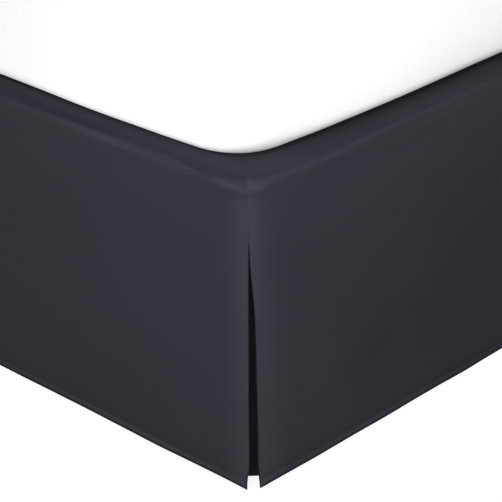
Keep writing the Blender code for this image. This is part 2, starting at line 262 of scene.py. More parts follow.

# Painted highlight and shade lines along the crest: start and end as (along, height), half width, light
PAINTED_CREST_LINES_SIDE = (
    ((0.330, 0.3700), (0.125, 0.3685), 0.0034, 0.42),
    ((0.420, 0.3680), (0.290, 0.3722), 0.0014, 0.40),
    ((0.320, 0.3722), (0.165, 0.3694), 0.0013, 0.30),
    ((0.156, 0.3764), (0.070, 0.3711), 0.0011, 0.65),
    ((0.152, 0.3676), (0.072, 0.3724), 0.0010, 0.70),
    ((0.152, 0.3628), (0.070, 0.3692), 0.0013, 0.55),
    ((0.146, 0.3655), (0.085, 0.3702), 0.0009, -0.16),
    ((0.385, 0.3723), (0.205, 0.3772), 0.0018, -0.22),
    ((0.210, 0.3620), (0.155, 0.3668), 0.0010, -0.10),
    ((0.070, 0.3702), (-0.010, 0.3712), 0.0038, 0.95),
)
PAINTED_CREST_LINES_FOOT = (
    ((0.040, 0.3796), (0.170, 0.3734), 0.0034, 0.50),
    ((0.130, 0.3783), (0.260, 0.3788), 0.0012, 0.60),
    ((0.130, 0.3717), (0.215, 0.3707), 0.0015, 0.25),
    ((0.230, 0.3786), (0.440, 0.3814), 0.0016, 0.40),
    ((-0.016, 0.3766), (0.028, 0.3740), 0.0056, 1.00),
    ((0.008, 0.3748), (0.062, 0.3804), 0.0040, 0.50),
    ((-0.008, 0.3420), (0.006, 0.3080), 0.0050, 0.45),
)

# Painted highlight of the hem: place along, reach, added highlight
HEM_SHINE_SIDE = ((0.020, 0.040, -0.40), (0.200, 0.120, 0.40))
HEM_SHINE_FOOT = ((0.010, 0.020, 0.30), (0.070, 0.040, -0.35), (0.260, 0.100, 0.55))

# Rows up a drop: in its hem, under its crest, at its crest, round the bend, on the band and return
HEM_ROWS = 22
TOP_ROWS = 8
CREST_ROWS = 20
BEND_ROWS = 12
BAND_ROWS = 10
RETURN_ROWS = 6

# Height of the hem's kick in hem widths, and how far the band arches above its straight slope
KICK_REACH = 1.25
BAND_FULLNESS = 0.22

# Columns of a drop round half its corner, and the short straight that they take in past it
ARC_COLUMNS = 16
ARC_PAST = 0.004

# Cloths: colour, roughness, repeat of the weave, spread of tone, sheen, mapped and with painted light
CLOTHS = {
    "charcoal cloth": ("charcoal", 0.75, 0.00377, 0.07, 0.015, True, True),
    "skirt thread": ("thread", 0.60, 0.00188, 0.10, 0.03, False, False),
    "deck cloth": ("deck", 0.85, 0.00503, 0.05, 0.05, True, False),
    "white cover": ("cover", 0.80, 0.00440, 0.012, 0.05, False, False),
    "ticking": ("ticking", 0.80, 0.00628, 0.04, 0.05, False, False),
}

# Hard finishes: colour, roughness, grains to the metre and depth of the grain
COATS = {
    "frame coat": ("steel", 0.42, 900.0, 0.0003),
    "glide plastic": ("plastic", 0.50, 1400.0, 0.0001),
}

# Noise of the cloths to the metre: across a thick place of a thread, along it, and the mottling
SLUB_FINE = 420.0
SLUB_LONG = 18.0
MOTTLE = 26.0

# Depth of the weave and slubs, and the shine of all the cloths
WEAVE_DEPTH = 0.00012
SHEEN_ROUGHNESS = 0.45
CLOTH_SPECULAR = 0.08

# Skirt cloth with painted light: gain and added light of its palest colour, the painted highlight,
# and how much a full painted shade takes away
PALE_GAIN = 1.25
PALE_ADDED = 0.006
SHADE_DEPTH = 0.75

# Spots: name, place from the near corner, the point that it lights and its cone in degrees
SPOTS = (
    ("left_pool", (-2.20, -0.55, 1.25), (0.0, 0.04, 0.30), 19),
    ("corner_pool", (-0.60, -2.24, 1.19), (0.02, 0.0, 0.25), 13),
    ("mattress_pool", (-0.60, -2.24, 1.19), (0.42, 0.0, 0.80), 24),
)
SPOT_RADIUS = 0.30

# Key light: place and target from the near corner, and its side
KEY_PLACE = (-1.09, -0.19, 1.40)
KEY_TARGET = (0.0, 0.10, 0.30)
KEY_SIZE = 0.7


def ease(share):
    """Smooth step from 0 to 1."""
    share = np.clip(share, 0.0, 1.0)
    return share * share * (3.0 - 2.0 * share)


def bell(distance, reach):
    """Bell curve: 1 at distance 0 and 1/e at the reach."""
    return np.exp(-((distance / reach) ** 2))


def unit(vectors):
    """Vectors of length one along the last axis."""
    return vectors / np.maximum(np.linalg.norm(vectors, axis=-1, keepdims=True), 1e-12)


def grid_normals(points):
    """Unit normal at each grid point: the cross product of the steps along and up the grid."""
    up, along = np.gradient(points, axis=(0, 1))
    return unit(np.cross(along, up))


def grid_faces(rows, columns, wrap=False):
    """Quads of a grid, closed round its columns if wrap is set."""
    index = np.arange(rows * columns).reshape(rows, columns)
    if wrap:
        index = np.concatenate([index, index[:, :1]], axis=1)
    quads = [index[:-1, :-1], index[:-1, 1:], index[1:, 1:], index[1:, :-1]]
    return np.stack(quads, axis=-1).reshape(-1, 4)


def make_mesh(name, points, faces, finish, cloth_map=None, painted_light_shares=None):
    """New smooth-shaded object from an array of points and a list of faces.

    cloth_map gives each vertex its place on the cut cloth, and the last argument its named shares of
    painted light and shade.
    """
    mesh = bpy.data.meshes.new(name)
    mesh.from_pydata(points.reshape(-1, 3).tolist(), [], faces)
    mesh.polygons.foreach_set("use_smooth", np.ones(len(mesh.polygons), dtype=bool))
    if cloth_map is not None:
        layer = mesh.uv_layers.new(name="cloth")
        corner_vertex = np.empty(len(mesh.loops), dtype=np.int32)
        mesh.loops.foreach_get("vertex_index", corner_vertex)
        places = cloth_map.reshape(-1, 2)[corner_vertex]
        layer.data.foreach_set("uv", places.astype(np.float32).ravel())
    for label, values in (painted_light_shares or {}).items():
        layer = mesh.attributes.new(label, "FLOAT", "POINT")
        layer.data.foreach_set("value", values.astype(np.float32).ravel())
    mesh.materials.append(finish)
    piece = bpy.data.objects.new(name, mesh)
    bpy.context.scene.collection.objects.link(piece)
    return piece


def thicken(piece, thickness, edge):
    """Give a sheet its thickness behind its face and soften its cut edges."""
    wall = piece.modifiers.new("thickness", "SOLIDIFY")
    wall.thickness = thickness
    wall.offset = -1.0
    wall.use_even_offset = True
    soften = piece.modifiers.new("soft edge", "BEVEL")
    soften.width = edge
    soften.segments = 2
    soften.limit_method = "ANGLE"
    soften.angle_limit = math.radians(55)


# Materials


def new_finish(name, base, roughness):
    """A Principled material; its constants sit on the shader's own sockets."""
    finish = bpy.data.materials.new(name)
    finish.use_nodes = True
    shader = finish.node_tree.nodes["Principled BSDF"]
    shader.inputs["Base Color"].default_value = (*base, 1.0)
    shader.inputs["Roughness"].default_value = roughness
    return finish, finish.node_tree, shader


def add(tree, kind, **settings):
    """Add a node; settings are its own properties or, where they are not, its inputs."""
    node = tree.nodes.new(kind)
    for key, value in settings.items():
        if hasattr(node, key):
            setattr(node, key, value)
        else:
            node.inputs[key.replace("_", " ")].default_value = value
    return node


def tone_mix(tree, shader, factor, base, spread):
    """Mix a slightly darker and a slightly lighter tone of the base by a factor."""
    mix = add(tree, "ShaderNodeMix", data_type="RGBA")
    mix.inputs[6].default_value = (*[channel * (1 - spread) for channel in base], 1.0)
    mix.inputs[7].default_value = (*[min(channel * (1 + spread), 1.0) for channel in base], 1.0)
    tree.links.new(factor, mix.inputs[0])
    tree.links.new(mix.outputs[2], shader.inputs["Base Color"])
    return mix.outputs[2]


def math_node(tree, operation, first, second):
    """Math node on two sockets or numbers."""
    node = add(tree, "ShaderNodeMath", operation=operation)
    for place, value in enumerate((first, second)):
        if isinstance(value, (int, float)):
            node.inputs[place].default_value = value
        else:
            tree.links.new(value, node.inputs[place])
    return node.outputs[0]


def stretched(tree, place, scale):
    """A place vector multiplied by a scale for each axis."""
    mapping = add(tree, "ShaderNodeMapping")
    mapping.inputs["Scale"].default_value = scale
    tree.links.new(place, mapping.inputs["Vector"])
    return mapping.outputs[0]


def noise(tree, place, scale, detail=3.0, roughness=0.55):
    """Noise texture's share at a place."""
    texture = add(tree, "ShaderNodeTexNoise")
    texture.inputs["Scale"].default_value = scale
    texture.inputs["Detail"].default_value = detail
    texture.inputs["Roughness"].default_value = roughness
    tree.links.new(place, texture.inputs["Vector"])
    return texture.outputs["Fac"]


def plain_weave(tree, place, repeat):
    """Plain weave as a height: the product of two crossed sine waves of that repeat.

    The wave texture turns by 20 radians in each unit of its scaled place.
    """
    waves = []
    for direction in ("X", "Y"):
        wave = add(tree, "ShaderNodeTexWave", wave_type="BANDS", bands_direction=direction)
        wave.inputs["Scale"].default_value = 2 * math.pi / (20 * repeat)
        wave.inputs["Distortion"].default_value = 0.0
        tree.links.new(place, wave.inputs["Vector"])
        waves.append(wave.outputs["Fac"])
    return math_node(tree, "MULTIPLY", waves[0], waves[1])


def bump(tree, shader, height, distance, strength, under=None):
    """Bump from a height, on top of an earlier bump if under is given."""
    node = add(tree, "ShaderNodeBump")
    node.inputs["Distance"].default_value = distance
    node.inputs["Strength"].default_value = strength
    tree.links.new(height, node.inputs["Height"])
    if under is not None:
        tree.links.new(under, node.inputs["Normal"])
    tree.links.new(node.outputs[0], shader.inputs["Normal"])
    return node.outputs[0]


def painted_light_share(tree, label):
    """A piece's own share of painted light or shade."""
    return add(tree, "ShaderNodeAttribute", attribute_name=label).outputs["Fac"]


def painted_light_colour(tree, place, base, tone):
    """Cloth colour with its painted light and shade.

    The painted crest highlight is mixed with a paler colour in streaks along the cloth, and the
    other painted light (fade) evenly; the painted shade then darkens what it covers.
    """
    streaks = noise(tree, stretched(tree, place, (11.0, SLUB_FINE, 1.0)), 1.0, 3.0)
    streaks = math_node(tree, "ADD", math_node(tree, "MULTIPLY", streaks, 0.9), 0.10)
    streaked_highlight = math_node(tree, "MULTIPLY", painted_light_share(tree, "rub"), streaks)
    lighter = math_node(tree, "ADD", streaked_highlight, painted_light_share(tree, "fade"))
    pale = add(tree, "ShaderNodeMix", data_type="RGBA", clamp_factor=False)
    palest = [channel * PALE_GAIN + PALE_ADDED for channel in base]
    pale.inputs[7].default_value = (*palest, 1.0)
    tree.links.new(lighter, pale.inputs[0])
    tree.links.new(tone, pale.inputs[6])
    darkened = math_node(tree, "MULTIPLY", painted_light_share(tree, "shade"), SHADE_DEPTH)
    scaled = add(tree, "ShaderNodeVectorMath", operation="SCALE")
    tree.links.new(pale.outputs[2], scaled.inputs[0])
    tree.links.new(math_node(tree, "SUBTRACT", 1.0, darkened), scaled.inputs["Scale"])
    return scaled.outputs[0]


def cloth_finish(name, base, roughness, repeat, spread, sheen, mapped, with_painted_light):
    """Woven cloth: weave and slubs as bump, soft mottling of tone and a little sheen.

    mapped reads the piece's cloth map in place of its object coordinates; the last flag adds its
    painted light and shade.
    """
    finish, tree, shader = new_finish(name, base, roughness)
    shader.inputs["Sheen Weight"].default_value = sheen
    shader.inputs["Sheen Roughness"].default_value = SHEEN_ROUGHNESS
    shader.inputs["Specular IOR Level"].default_value = CLOTH_SPECULAR
    if mapped:
        place = add(tree, "ShaderNodeUVMap", uv_map="cloth").outputs[0]
    else:
        place = add(tree, "ShaderNodeTexCoord").outputs["Object"]
    warp = noise(tree, stretched(tree, place, (SLUB_FINE, SLUB_LONG, SLUB_LONG)), 1.0, 2.0)
    weft = noise(tree, stretched(tree, place, (SLUB_LONG, SLUB_FINE, SLUB_FINE)), 1.0, 2.0)
    slubs = math_node(tree, "ADD", warp, weft)
    mottle = noise(tree, place, MOTTLE, 4.0)
    factor = math_node(tree, "MULTIPLY", math_node(tree, "ADD", slubs, mottle), 0.34)
    tone = tone_mix(tree, shader, factor, base, spread)
    if with_painted_light:
        tree.links.new(painted_light_colour(tree, place, base, tone), shader.inputs["Base Color"])
    fine = bump(tree, shader, plain_weave(tree, place, repeat), WEAVE_DEPTH, 0.4)
    bump(tree, shader, slubs, WEAVE_DEPTH, 0.3, fine)
    return finish


def coated_finish(name, base, roughness, grain, depth):
    """Powder coat or moulded plastic: a fine grain as bump and a slight random unevenness of tone."""
    finish, tree, shader = new_finish(name, base, roughness)
    place = add(tree, "ShaderNodeTexCoord").outputs["Object"]
    speckle = noise(tree, place, grain, 4.0, 0.6)
    tone_mix(tree, shader, noise(tree, place, 18.0, 5.0), base, 0.14)
    bump(tree, shader, speckle, depth, 0.4)
    return finish


def finish_of(name):
    """The finish of that name, made on first use."""
    found = bpy.data.materials.get(name)
    if found:
        return found
    colours = bpy.context.scene.bed_skirt_finishes
    if name in CLOTHS:
        base, *look = CLOTHS[name]
        return cloth_finish(name, getattr(colours, base), *look)
    base, *look = COATS[name]
    return coated_finish(name, getattr(colours, base), *look)


# The hanging cloth


def face_shares(middle_rows):
    """Rows up a drop's face, close together at the hem and under the crest."""
    hem = np.linspace(0.0, 0.075, HEM_ROWS)
    middle = np.linspace(0.075, 0.86, middle_rows + 1)[1:]
    top = np.linspace(0.86, 0.945, TOP_ROWS + 1)[1:]
    crest = np.linspace(0.945, 1.0, CREST_ROWS + 1)[1:]
    return np.concatenate([hem, middle, top, crest])


def section(sizes, crest, band, bend_reach, shares):
    """Outer section of a drop for arrays of crest height, band width and bend, one per column.

    Face: straight up from the hem, hollowed by a bell curve under the crest and leaning out by
    squares of the height left below it.  Bend: a quadratic curve through face, knee and slope.
    Band: a slope, slightly full in its middle.  Return: level.  Gives inset, height, corner
    radius, face share and the distance down the section from the middle of the bend.
    """
    cloth_top = DECK_HIGH.z
    share = shares[:, None]
    face_top = crest - bend_reach
    z = sizes.hem_height + share * (face_top - sizes.hem_height)
    hollow = sizes.recess * bell(z - crest + sizes.recess_below, sizes.recess_reach)
    above = z - sizes.hem_height
    lean = sizes.lean * np.clip(1 - above / sizes.lean_height, 0, 1) ** 2
    kick = sizes.kick * np.clip(1 - above / (KICK_REACH * sizes.hem_width), 0, 1) ** 1.6
    face_u = hollow - lean - kick

    slope = unit(np.stack([band, cloth_top - crest], axis=-1))
    first = np.stack([face_u[-1], face_top], axis=-1)
    knee = np.stack([np.zeros_like(crest), crest], axis=-1)
    last = knee + bend_reach[:, None] * slope
    t = np.linspace(0, 1, BEND_ROWS + 1)[1:, None, None]
    bend = (1 - t) ** 2 * first + 2 * t * (1 - t) * knee + t**2 * last
    t = np.linspace(0, 1, BAND_ROWS + 1)[1:, None]
    rise = cloth_top - last[..., 1]
    band_u = last[..., 0] + t * (band - last[..., 0])
    band_z = last[..., 1] + rise * (t + BAND_FULLNESS * t * (1 - t))
    t = np.linspace(0, 1, RETURN_ROWS + 1)[1:, None]
    return_u = band + t * (sizes.return_width - band)

    inset = np.concatenate([face_u, bend[..., 0], band_u, return_u])
    height = np.concatenate([z, bend[..., 1], band_z, np.full_like(return_u, cloth_top)])
    rows = len(inset)
    face = np.concatenate([shares, np.ones(rows - len(shares))])[:, None] * np.ones_like(inset)
    radius = sizes.radius_hem + face * (sizes.radius_top - sizes.radius_hem)
    radius = np.maximum(radius - np.clip(inset, 0, None), sizes.radius_under)
    steps = np.hypot(np.diff(inset, axis=0), np.diff(height, axis=0))
    travel = np.concatenate([np.zeros((1, inset.shape[1])), np.cumsum(steps, axis=0)])
    below = travel[len(shares) + BEND_ROWS // 2] - travel
    return inset, height, radius, face, below


def split_opening(sizes, height):
    """Share of the split's height that lies above a point: 0 at its top, 1 at the hem."""
    return np.clip((sizes.split_top - height) / (sizes.split_top - sizes.hem_height), 0.0, 1.0)


def split_start(sizes, inset, height, early):
    """Path distance from the middle of the corner at which a drop's edge stands.

    Above the split it is the seam, a little to the side drop's side, drifting further over up to
    the crest and again under the mattress.  Below, the side drop keeps upright (early) and the foot
    drop draws back by a power of the opening, less so near its top.  Both edges curl back by 1 mm,
    and the side drop flicks out over the last 30 mm.
    """
    drift = ease((height - sizes.split_top) / 0.055) + ease((inset - 0.004) / 0.016)
    seam = sizes.seam_left + sizes.seam_drift * drift
    opening = split_opening(sizes, height)
    flick = sizes.split_flick * ease((0.034 - height) / 0.020) * (inset < 0.01)
    curl = ease((opening - 0.04) / 0.25)
    if early:
        return seam + 0.0010 * curl + flick
    start = 0.2 + 0.8 * ease((opening - 0.03) / 0.32)
    return -seam + sizes.split_width * opening**0.66 * start + 0.0010 * curl


def corner_arc(inset, radius, path):
    """Inset and distance along the drop at a path distance from the middle of the corner.

    The path is a quarter circle with a straight at both its ends.
    """
    half_arc = radius * math.pi / 4
    turn = np.clip(math.pi / 4 - path / radius, 0.0, math.pi / 2)
    past = np.clip(path - half_arc, 0.0, None)
    before = np.clip(-path - half_arc, 0.0, None)
    return (
        inset + radius * (1 - np.cos(turn)) + before,
        inset + radius * (1 - np.sin(turn)) + past,
    )


def straight_shares(reach, both_ends):
    """Column places past the corner: fine where the photo looks closely, wider beyond."""
    near = np.arange(0.0025, 0.050, 0.0025)
    seen = np.arange(0.052, 0.45, 0.0055)
    if both_ends:
        rest = np.arange(0.46, reach - 0.055, 0.011)
        places = np.concatenate([near, seen, rest, reach - near[::-1]])
    else:
        places = np.concatenate([near, seen, np.arange(0.46, reach, 0.011), [reach]])
    return np.unique(np.round(places / reach, 6))


def crease_depth(creases, along, height):
    """Sum of soft ridges and troughs: a bell curve across each line, eased out at both ends."""
    total = np.zeros_like(along)
    for start, end, width, depth in creases:
        start, end = np.array(start), np.array(end)
        run = np.linalg.norm(end - start)
        direction = (end - start) / run
        out = np.stack([along - start[0], height - start[1]], axis=-1)
        forward = out @ direction
        across = out @ np.array([-direction[1], direction[0]])
        fade = ease(forward / (0.3 * run)) * ease((run - forward) / (0.3 * run))
        total += depth * bell(across, width) * fade
    return total


def ripple_depth(along, height):
    """Sum of slow sine waves over the cloth in a few directions."""
    total = np.zeros_like(along)
    for wave, depth, turn, phase in RIPPLES:
        angle = turn * math.pi
        travel = along * math.cos(angle) + height * math.sin(angle)
        bend = 0.6 * np.sin(2 * math.pi * (along - height) / (wave * 3.7) + phase)
        total += depth * np.sin(2 * math.pi * travel / wave + phase + bend)
    return total


def hang_depth(waves, hem, along, away, reach, face):
    """Inward swing of a drop: slow sine waves, none at the crest or the ends, most at the hem.

    Within 0.4 m of the corner the hem's own listed swings take their place, as bell curves.
    """
    fade = ease((along - 0.40) / 0.12) * ease((reach - along) / 0.05)
    swing = sum(depth * np.sin(2 * math.pi * along / wave + phase) for wave, depth, phase in waves)
    return (fade * swing - bumps(hem, away, 2)) * (1.0 - face) ** 0.7


def sewn_depth(sizes, edge_distance, above_hem, opening):
    """Groove where the hem is sewn, a slight fullness outside it and rolled edges at the split."""
    groove = 0.0011
    hem_line = -0.00013 * bell(above_hem - sizes.hem_width, groove)
    hem_full = 0.00020 * ease((sizes.hem_width - above_hem) / 0.003)
    side_line = -0.00016 * bell(edge_distance - sizes.hem_width, groove)
    roll = -0.0007 * bell(edge_distance, 0.0012)
    return hem_line + hem_full + (side_line + roll) * ease(opening / 0.06)


def bumps(table, along, column):
    """Sum of bell curves along the drop, each with the height in one column of the table."""
    return sum(row[column] * bell(along - row[0], row[1]) for row in table)


def patches(table, along, height):
    """Sum of flat bells over the cloth, one for each row of the table."""
    total = np.zeros_like(height)
    for (at, level), (reach, up), amount in table:
        total += amount * bell(along - at, reach) * bell(height - level, up)
    return total


def crest_profile(sizes, side, travel):
    """Crest height, band width and bend at a distance from the middle of the corner.

    Each is its own value on the side and on the foot drop, and eases to the corner's by a bell
    curve; the crest adds its listed unevenness and, further on, two slow sine waves.
    """
    near = bell(travel, sizes.corner_blend)
    crest, band, table = (
        (sizes.crest_side, sizes.band_side, CREST_SIDE)
        if side
        else (sizes.crest_foot, sizes.band_foot, CREST_FOOT)
    )
    waves = np.sin(2 * math.pi * travel / 0.37 + 1.0) + 0.6 * np.sin(2 * math.pi * travel / 0.21)
    slow = 0.0008 * waves * ease((travel - 0.36) / 0.10)
    height = crest + (sizes.crest_corner - crest) * near + bumps(table, travel, 2) + slow
    width = band + (sizes.band_corner - band) * bell(travel, 0.05)
    reach = sizes.bend + (sizes.bend_corner - sizes.bend) * bell(travel, 0.022)
    return height, width, reach


def drop_painted_light(sizes, side, inset, away, height, edge, below):
    """Shares of painted light and shade over a drop, as bell curves and smooth steps.

    The first share is the painted highlight along the crest, crisp above its middle and soft below.
    fade: painted light on the hem's fold, beside the seam and split, on the band, and at the listed
    light patches and lines.  shade: painted shade at the cut edges, over the hem's sewing, where the
    band meets the mattress and on the dark side of the light patches and lines.
    """
    above = height - sizes.hem_height
    crest, hem, light_patches, lines = (
        (CREST_SIDE, HEM_SHINE_SIDE, PAINTED_LIGHT_PATCHES_SIDE, PAINTED_CREST_LINES_SIDE)
        if side
        else (CREST_FOOT, HEM_SHINE_FOOT, PAINTED_LIGHT_PATCHES_FOOT, PAINTED_CREST_LINES_FOOT)
    )
    # Painted highlight along the crest: strength from the crest table, less far from the corner; crisp
    # above the middle of the bend, soft below
    shine = np.clip(0.70 + bumps(crest, away, 3), 0, 2) * (1 - 0.25 * ease((away - 0.4) / 0.2))
    past_middle = below - 0.002
    soft_reach = 0.0080 + 0.0070 * bell(away, 0.022)
    rub = np.where(past_middle < 0, bell(past_middle, 0.0022), bell(past_middle, soft_reach)) * shine

    corner = bell(away, 0.080)
    # band_light: painted light on the band next to the mattress, lifting its shade; contact: inset at
    # which the painted shadow under the mattress starts
    if side:
        split_reach = 0.025
        band_light = 0.65 - 0.45 * corner
        contact = 0.0192 + 0.009 * bell(away, 0.13)
    else:
        split_reach = 0.035
        band_light = 0.20 * corner
        contact = 0.039 + 0.010 * corner
    # Painted light (above 0) and painted shade (below 0) from the listed patches and crest lines
    tone = patches(light_patches, away, height) + crease_depth(lines, away, height) * (inset < 0.016)
    # Painted highlight in strips beside the seam and the split; fade adds to it the painted light on
    # the band and the light patches and lines
    split_highlight = 0.80 * bell(edge, split_reach) * ease((below - 0.014) / 0.014)
    fade = split_highlight + band_light * ease((inset - 0.005) / 0.010) + np.maximum(tone, 0)
    # Painted highlight along the hem's fold, just above its lower edge
    hem_highlight = bell(above - 0.0042, 0.0024) * (0.95 + bumps(hem, away, 2))

    # Painted shade: a dark line at the seam and the split's cut edges, a dark outline at the hem's
    # lower edge and a darker strip over the hem's sewing
    opened = 0.16 + 0.84 * ease(split_opening(sizes, height) / 0.05)
    side_edge_shade = bell(edge, 0.0008) * opened * ease((below + 0.002) / 0.002)
    hem_edge_shade = 1.2 * bell(above, 0.0019)
    sewing = 0.08 * bell(above - 0.012, 0.004)
    # Painted shadow where the band passes under the mattress, left out near the corner
    mattress_contact_shadow = ease((inset - contact) / 0.0016) * ease((away - 0.06) / 0.03) * (inset < 0.05)
    shade = side_edge_shade + hem_edge_shade + sewing + mattress_contact_shadow - np.minimum(tone, 0)
    return {"rub": rub, "fade": np.minimum(fade, 1) + hem_highlight, "shade": np.clip(shade, 0, 1)}


def drop_surface(sizes, reach, side, waves, creases):
    """Whole drop as a grid of (inset, along, height), its place on the cut cloth and its shares of
    painted light and shade.

    side is set for a side drop, which has one corner, and unset for the foot drop, which has two.
    Columns run round the corner first, from the split's edge, and then straight on.  Each point
    then moves along its normal by the depth of creases, ripples, sewing and curled edges.
    """
    shares = face_shares(sizes.face_rows)
    arc_share = np.linspace(0, 1, ARC_COLUMNS) ** 1.15
    arc_reach = sizes.radius_top * math.pi / 4 + ARC_PAST
    edge_at = sizes.seam_left if side else -sizes.seam_left
    places = straight_shares(reach, not side)
    nearest = places if side else np.minimum(places, 1 - places)
    travel = [edge_at + (arc_reach - edge_at) * arc_share, arc_reach + nearest * reach]
    if not side:
        travel.append(travel[0][::-1])
    travel = np.concatenate(travel)
    profile = np.where(
        travel > 0,
        crest_profile(sizes, side, np.abs(travel)),
        crest_profile(sizes, not side, np.abs(travel)),
    )
    inset, height, radius, face, below = section(sizes, *profile, shares)

    corner = slice(0, ARC_COLUMNS)
    start = split_start(sizes, inset[:, corner], height[:, corner], side)
    join = np.maximum(radius[:, corner] * math.pi / 4, start) + ARC_PAST
    path = start + (join - start) * arc_share
    arc_u, arc_v = corner_arc(inset[:, corner], radius[:, corner], path)
    first = arc_v[:, -1:]
    stop = reach if side else reach - first
    straight = slice(ARC_COLUMNS, ARC_COLUMNS + len(places))
    along = first + places * (stop - first)
    away = along if side else np.minimum(along, reach - along)
    hem = HEM_SIDE if side else HEM_FOOT
    u = inset[:, straight] + hang_depth(waves, hem, along, away, reach, face[:, straight])
    edge = away - first + (path - start)[:, -1:]
    columns = [(arc_u, arc_v, path - start), (u, along, edge)]
    if not side:
        columns.append((arc_u[:, ::-1], reach - arc_v[:, ::-1], (path - start)[:, ::-1]))
    u, v, edge = (np.concatenate(blocks, axis=1) for blocks in zip(*columns))

    away = v if side else np.minimum(v, reach - v)
    relief = crease_depth(creases, away, height) + ripple_depth(v, height + u)
    for shift in CREASE_SHIFTS:
        relief += crease_depth(creases, away - shift, height) * ease((away - shift) / 0.05)
    above = height - sizes.hem_height
    opening = split_opening(sizes, height)
    under = ease((u - 0.040) / 0.008)
    depth = relief * (1 - under) + sewn_depth(sizes, edge, above, opening)
    curl = ease(opening / 0.25) * ease(above / 0.03)
    depth -= sizes.bow * np.clip(1 - edge / sizes.bow_reach, 0, 1) ** 2 * curl
    points = np.stack([u, v, height], axis=-1)
    points = points - depth[..., None] * grid_normals(points)

    steps = np.linalg.norm(np.diff(points, axis=0, prepend=points[:1]), axis=-1)
    cloth_map = np.stack([v, np.cumsum(steps, axis=0)], axis=-1)
    return points, cloth_map, drop_painted_light(sizes, side, u, away, height, edge, below)


def skirt_faces():
    """Half the width over the side drops, and the place of the foot drop's face along Y."""
    stand_off = bpy.context.scene.bed_skirt_sizes.stand_off
    return SPRING_HIGH.x + stand_off, SPRING_LOW.y - stand_off


def place_left(points):
    """From (inset, along, height) to the left side of the bed."""
    half, foot = skirt_faces()
    return np.stack([-half + points[..., 0], foot + points[..., 1], points[..., 2]], axis=-1)


def place_right(points):
    """From (inset, along, height) to the right side of the bed."""
    return place_left(points) * np.array([-1.0, 1.0, 1.0])


def place_foot(points):
    """From (inset, along, height) to the foot of the bed."""
    half, foot = skirt_faces()
    return np.stack([-half + points[..., 1], foot + points[..., 0], points[..., 2]], axis=-1)


def cloth_piece(name, points, cloth_map, finish, turned, painted_light_shares=None):
    """Sheet object from a grid, facing out; turned swaps the winding."""
    faces = grid_faces(*points.shape[:2])
    if turned:
        faces = faces[:, ::-1]
    piece = make_mesh(name, points, faces.tolist(), finish, cloth_map, painted_light_shares)
    thicken(piece, bpy.context.scene.bed_skirt_sizes.cloth, 0.0002)
    return piece


def stitches(name, lines, finish):
    """Rows of stitches: each one a small six-sided spindle laid along its line.

    A line is (points, outward normals).  The stitch's section is a hexagon whose radius follows
    the square root of a parabola along the stitch, sunk to half its depth in the cloth.
    """
    sizes = bpy.context.scene.bed_skirt_sizes
    sides = np.linspace(0, 2 * math.pi, 7)[:-1]
    along = np.array([-0.5, -0.42, -0.2, 0.2, 0.42, 0.5])
    swell = np.sqrt(np.clip(1.0 - (2 * along) ** 2, 0.04, 1.0))
    solids = []
    for points, normals in lines:
        step = np.linalg.norm(np.diff(points, axis=0), axis=1)
        run = np.concatenate([[0.0], np.cumsum(step)])
        middle = np.arange(sizes.stitch_pitch, run[-1] - sizes.stitch_pitch, sizes.stitch_pitch)
        centre = np.stack([np.interp(middle, run, points[:, axis]) for axis in range(3)], axis=-1)
        out = np.stack([np.interp(middle, run, normals[:, axis]) for axis in range(3)], axis=-1)
        out = unit(out)
        ahead = unit(np.gradient(centre, axis=0))
        side = np.cross(ahead, out)
        reach = along[None, :, None, None] * sizes.stitch_pitch * 0.72 * ahead[:, None, None, :]
        ring = np.cos(sides)[:, None] * side[:, None, None, :]
        ring = ring + np.sin(sides)[:, None] * out[:, None, None, :]
        radius = sizes.thread * swell[None, :, None, None]
        solids.append(centre[:, None, None, :] + reach + radius * ring)
    cloud = np.concatenate(solids)
    count, rings, around = cloud.shape[:3]
    one = grid_faces(rings, around, wrap=True)[:, ::-1]
    offsets = (np.arange(count) * rings * around)[:, None, None]
    quads = (one[None] + offsets).reshape(-1, 4)
    first = np.arange(around)[None, :] + offsets[:, 0]
    last = (np.arange(around) + (rings - 1) * around)[::-1][None, :] + offsets[:, 0]
    caps = np.concatenate([first, last])
    return make_mesh(name, cloud, quads.tolist() + caps.tolist(), finish)


def hem_line(sizes, points, placed, side, turned):
    """Stitch line along a drop's hem, short of the split edges, as points and outward normals."""
    normals = grid_normals(placed) * (-1.0 if turned else 1.0)
    row = int(np.argmin(np.abs(points[:, 40, 2] - sizes.hem_height - sizes.hem_width)))
    run = slice(8, None if side else -8)
    return placed[row, run], normals[row, run]


# Lofted bodies


def outline_columns(per_corner, along_x, along_y):
    """Columns of a rounded rectangle: angle, the two corners it lies between and its share."""
    angle, near, far, share = [], [], [], []
    signs = [(1, 1), (-1, 1), (-1, -1), (1, -1)]
    for corner, sign in enumerate(signs):
        turns = corner * math.pi / 2 + np.linspace(0, math.pi / 2, per_corner)
        after = signs[(corner + 1) % 4]
        steps = along_x if corner % 2 == 0 else along_y
        inner = np.linspace(0, 1, steps + 1)[1:-1]
        angle += list(turns) + [turns[-1]] * len(inner)
        near += [sign] * (per_corner + len(inner))
        far += [sign] * per_corner + [after] * len(inner)
        share += [0.0] * per_corner + list(inner)
    return np.array(angle), np.array(near, float), np.array(far, float), np.array(share)[:, None]


